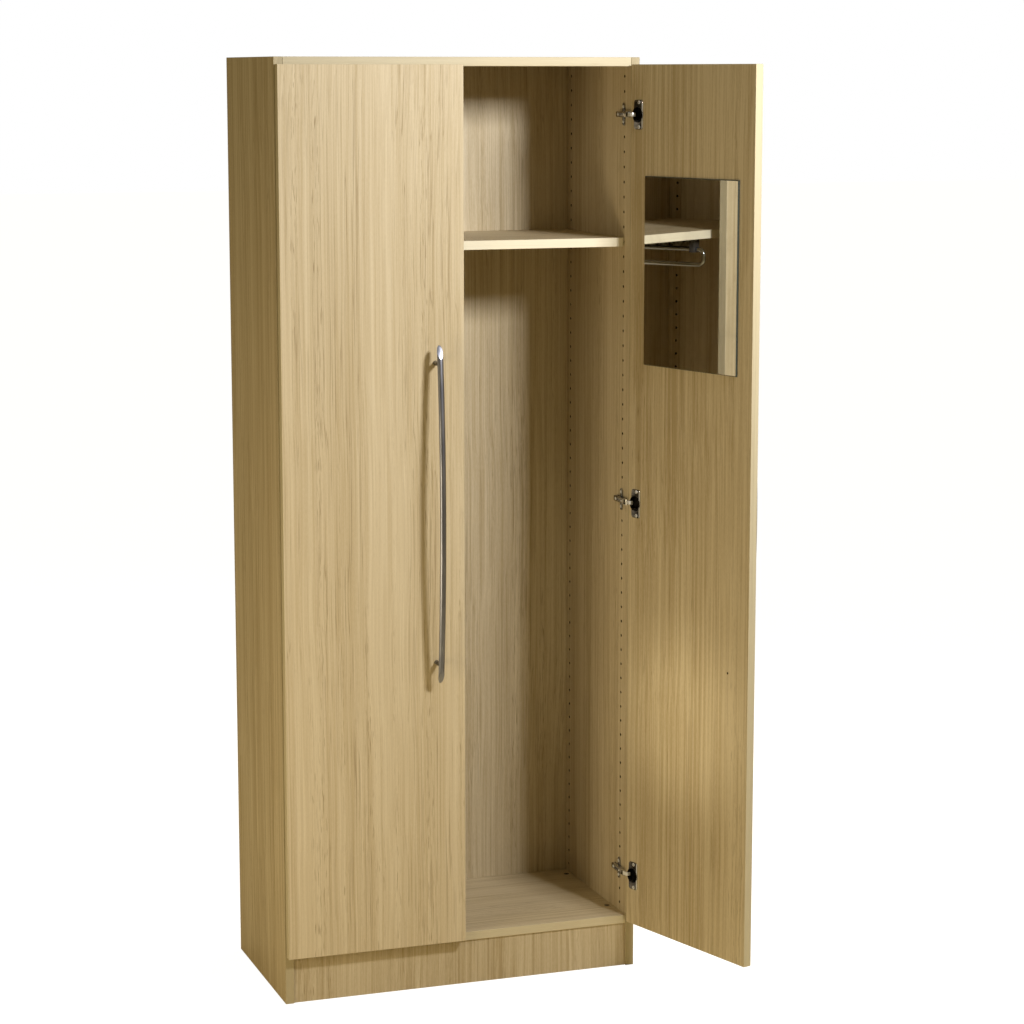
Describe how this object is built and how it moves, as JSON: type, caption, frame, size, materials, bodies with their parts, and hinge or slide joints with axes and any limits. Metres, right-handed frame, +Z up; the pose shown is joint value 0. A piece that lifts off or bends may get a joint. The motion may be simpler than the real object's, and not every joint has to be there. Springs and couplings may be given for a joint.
{
  "type": "two-door wardrobe",
  "caption": "Tall free-standing board wardrobe on a plinth, with hinged doors, long bow handles, a hat shelf, a pull-out clothes rail and a mirror inside one door.",
  "frame": {"origin": "middle of the plinth board's underside, on the floor", "axes": "+X to the right as one faces the doors, +Y from the doors to the back, +Z up"},
  "size_m": [0.9457, 0.7889, 2],
  "materials": {
    "light_oak_board": "light oak decor on particle board with a fine upright grain, satin",
    "satin_nickel": "satin nickel",
    "bright_nickel": "bright nickel plate on pressed steel",
    "dark_steel": "dark plated steel",
    "dark_plastic": "dark moulded plastic, matt",
    "chrome_rod": "polished chrome",
    "mirror_glass": "silvered glass with a ground edge"
  },
  "bodies": {
    "carcass": {"plinth": "light_oak_board", "base_shelf": "light_oak_board", "top_panel": "light_oak_board", "back_panel": "light_oak_board", "hat_shelf": "light_oak_board", "side_left": "light_oak_board", "cam_fitting_base_left_front": "dark_steel", "cam_fitting_top_left_front": "dark_steel", "shelf_pin_left_front": "bright_nickel", "cam_fitting_base_left_rear": "dark_steel", "cam_fitting_top_left_rear": "dark_steel", "shelf_pin_left_rear": "bright_nickel", "hinge_plate_left_upper": "bright_nickel", "hinge_arm_left_upper": "bright_nickel", "hinge_plate_left_middle": "bright_nickel", "hinge_arm_left_middle": "bright_nickel", "hinge_plate_left_lower": "bright_nickel", "hinge_arm_left_lower": "bright_nickel", "side_right": "light_oak_board", "cam_fitting_base_right_front": "dark_steel", "cam_fitting_top_right_front": "dark_steel", "shelf_pin_right_front": "bright_nickel", "cam_fitting_base_right_rear": "dark_steel", "cam_fitting_top_right_rear": "dark_steel", "shelf_pin_right_rear": "bright_nickel", "hinge_plate_right_upper": "bright_nickel", "hinge_arm_right_upper": "bright_nickel", "hinge_plate_right_middle": "bright_nickel", "hinge_arm_right_middle": "bright_nickel", "hinge_plate_right_lower": "bright_nickel", "hinge_arm_right_lower": "bright_nickel", "rail_channel": "dark_steel", "rail_guide": "dark_plastic"},
    "left_door": {"door_left": "light_oak_board", "handle_bar_left": "satin_nickel", "handle_post_left_upper": "satin_nickel", "handle_screw_left_upper": "dark_steel", "handle_post_left_lower": "satin_nickel", "handle_screw_left_lower": "dark_steel", "hinge_cup_left_upper": "bright_nickel", "hinge_cup_left_middle": "bright_nickel", "hinge_cup_left_lower": "bright_nickel"},
    "left_hinge_links": {"hinge_link_left_upper": "bright_nickel", "hinge_link_left_middle": "bright_nickel", "hinge_link_left_lower": "bright_nickel"},
    "right_door": {"door_right": "light_oak_board", "handle_bar_right": "satin_nickel", "handle_post_right_upper": "satin_nickel", "handle_screw_right_upper": "dark_steel", "handle_post_right_lower": "satin_nickel", "handle_screw_right_lower": "dark_steel", "hinge_cup_right_upper": "bright_nickel", "hinge_cup_right_middle": "bright_nickel", "hinge_cup_right_lower": "bright_nickel", "mirror": "mirror_glass"},
    "right_hinge_links": {"hinge_link_right_upper": "bright_nickel", "hinge_link_right_middle": "bright_nickel", "hinge_link_right_lower": "bright_nickel"},
    "clothes_rail": {"rail_loop": "chrome_rod", "rail_slider": "dark_plastic"}
  },
  "joints": [
    {"name": "right_door_swing", "type": "hinge", "parent": "carcass", "child": "right_door", "pos_m": [0.39017, -0.0275, 1.048], "axis": [0, 0, 1], "range_deg": [-107, 0]},
    {"name": "left_door_swing", "type": "hinge", "parent": "carcass", "child": "left_door", "pos_m": [-0.39017, -0.0275, 1.048], "axis": [0, 0, -1], "range_deg": [0, 107]},
    {"name": "right_link_turn", "type": "hinge", "parent": "carcass", "child": "right_hinge_links", "pos_m": [0.374, -0.0195, 1.048], "axis": [0, 0, 1], "range_deg": [0, 45.7]},
    {"name": "left_link_turn", "type": "hinge", "parent": "carcass", "child": "left_hinge_links", "pos_m": [-0.374, -0.0195, 1.048], "axis": [0, 0, -1], "range_deg": [-45.7, 0]},
    {"name": "rail_pull", "type": "slide", "parent": "carcass", "child": "clothes_rail", "axis": [0, -1, 0], "range_m": [0, 0.03]}
  ],
  "couplings": [
    {"joint": "right_link_turn", "follows": "right_door_swing", "ratio": -0.42631},
    {"joint": "left_link_turn", "follows": "left_door_swing", "ratio": -0.42631}
  ]
}
